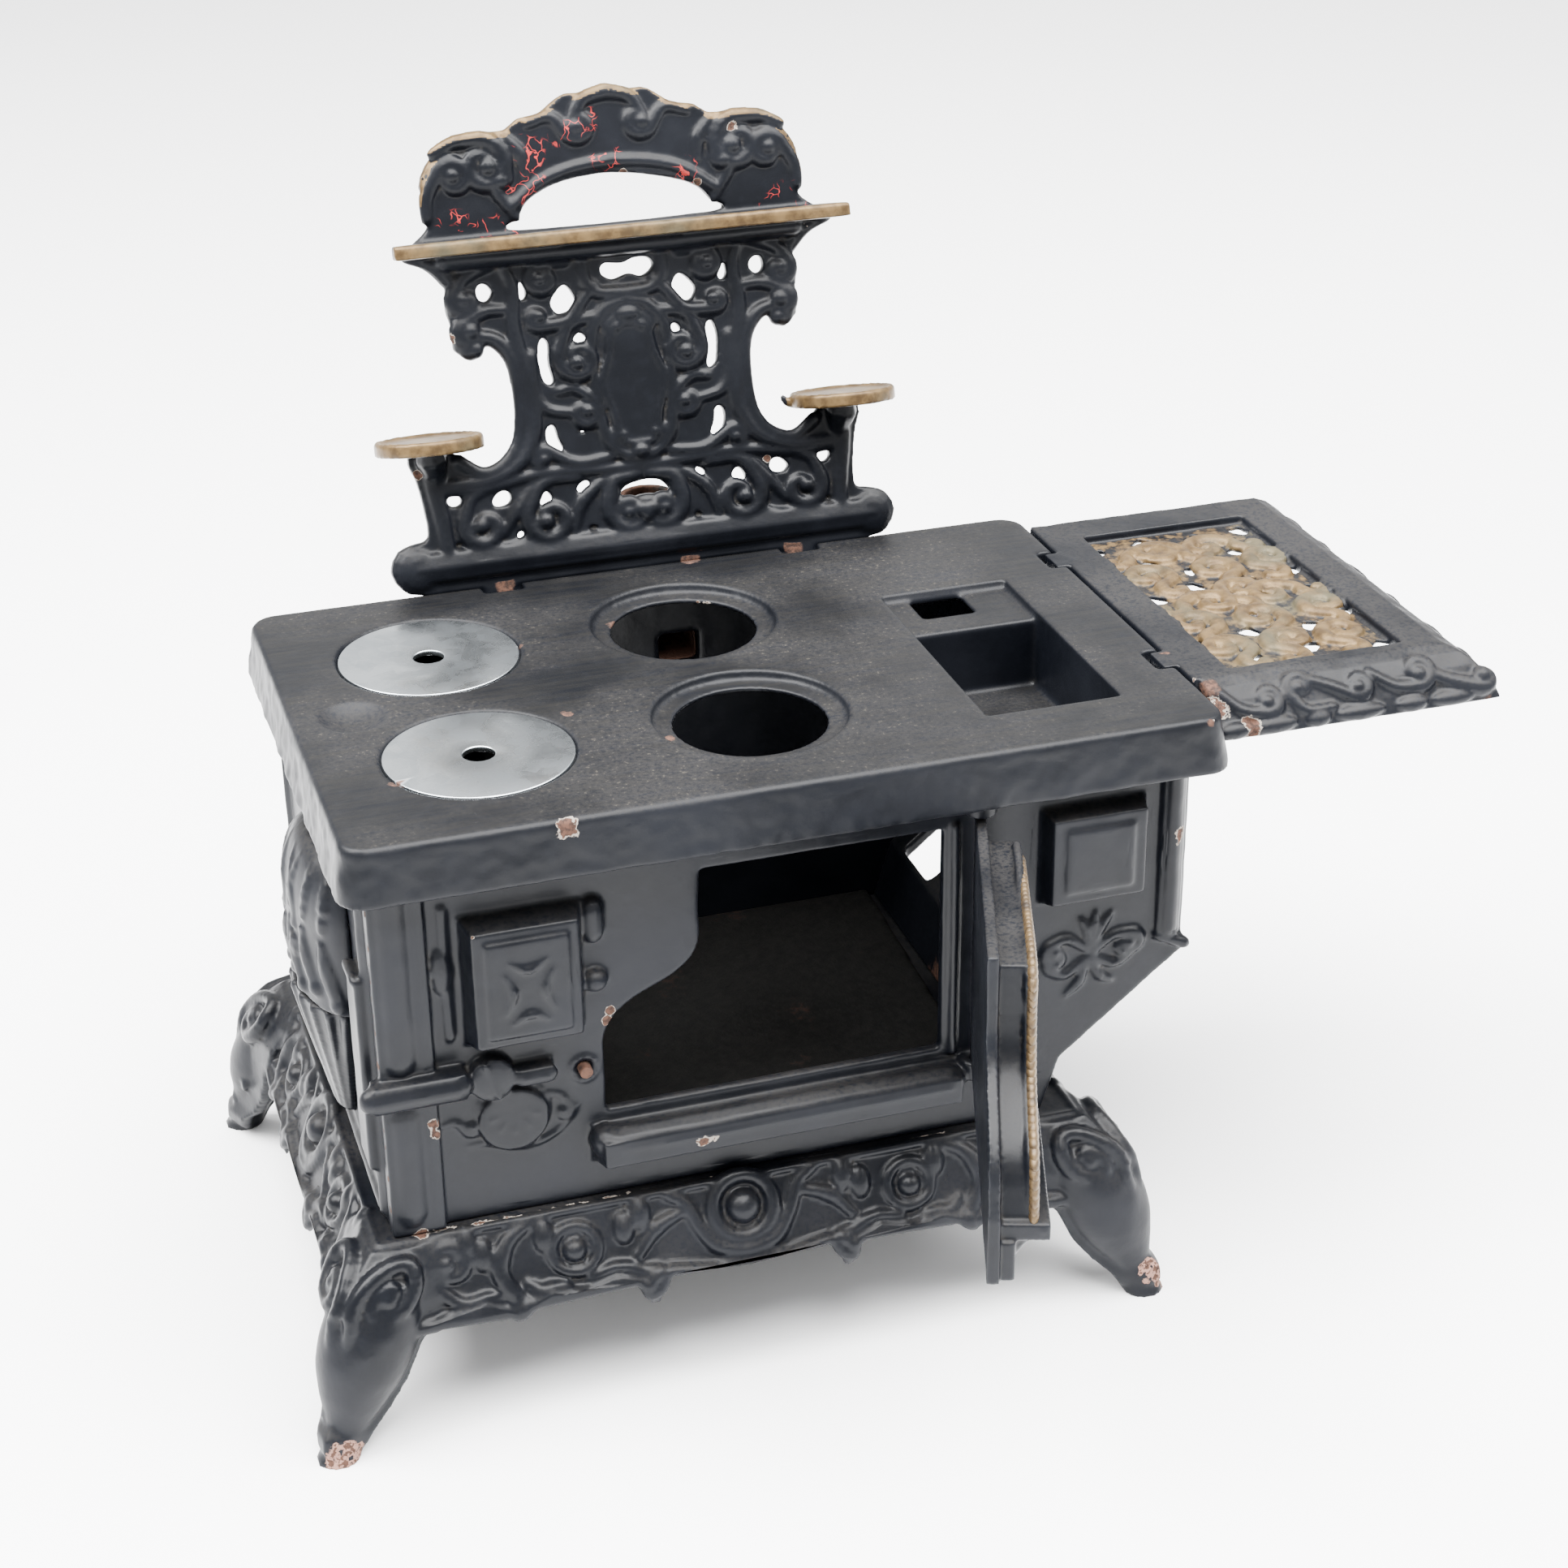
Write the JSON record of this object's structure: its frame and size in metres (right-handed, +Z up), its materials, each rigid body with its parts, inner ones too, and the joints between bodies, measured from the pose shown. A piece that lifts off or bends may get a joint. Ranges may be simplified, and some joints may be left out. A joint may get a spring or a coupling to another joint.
{
  "type": "toy cooking range",
  "caption": "Miniature cast-iron kitchen range with lift-off lids, hinged oven door, pierced high back, tip-up side shelf and cabriole legs.",
  "frame": {"origin": "on the floor under the middle of the whole object's box, with the oven door standing open", "axes": "+Z up, +Y towards the high back, +X towards the side shelf"},
  "size_m": [0.3544, 0.2899, 0.3131],
  "materials": {
    "black_iron": "satin black enamel, worn",
    "plate_iron": "satin black enamel, rubbed grey",
    "bare_iron": "bare dusty iron",
    "rusty_iron": "rusted iron",
    "zinc": "zinc plated, mottled",
    "gilt": "old gold paint"
  },
  "bodies": {
    "range": {"base_casting": "black_iron", "top_plate": "plate_iron", "front_plate": "black_iron", "front_stud": "rusty_iron", "back_plate": "black_iron", "left_end_plate": "black_iron", "right_end_plate": "black_iron", "firebox_wall": "bare_iron", "oven_floor": "bare_iron", "fire_grate": "bare_iron", "fire_hood": "black_iron", "hearth_scoop": "black_iron", "flue_collar": "rusty_iron", "tie_bolts": "bare_iron", "high_back": "black_iron"},
    "oven_door": {"oven_door": "black_iron"},
    "lid_front": {"lid_front": "zinc"},
    "lid_rear": {"lid_rear": "zinc"},
    "side_shelf": {"side_shelf": "black_iron"}
  },
  "joints": [
    {"name": "oven_door_hinge", "type": "hinge", "parent": "range", "child": "oven_door", "pos_m": [0.0157, -0.0435, 0.118], "axis": [0, 0, 1], "range_deg": [-71, 45]},
    {"name": "lid_front_lift", "type": "slide", "parent": "range", "child": "lid_front", "axis": [0, 0, 1], "range_m": [0, 0.03]},
    {"name": "lid_rear_lift", "type": "slide", "parent": "range", "child": "lid_rear", "axis": [0, 0, 1], "range_m": [0, 0.03]},
    {"name": "side_shelf_tip", "type": "hinge", "parent": "range", "child": "side_shelf", "pos_m": [0.0857, 0.0355, 0.176], "axis": [0, -1, 0], "range_deg": [0, 60]}
  ]
}
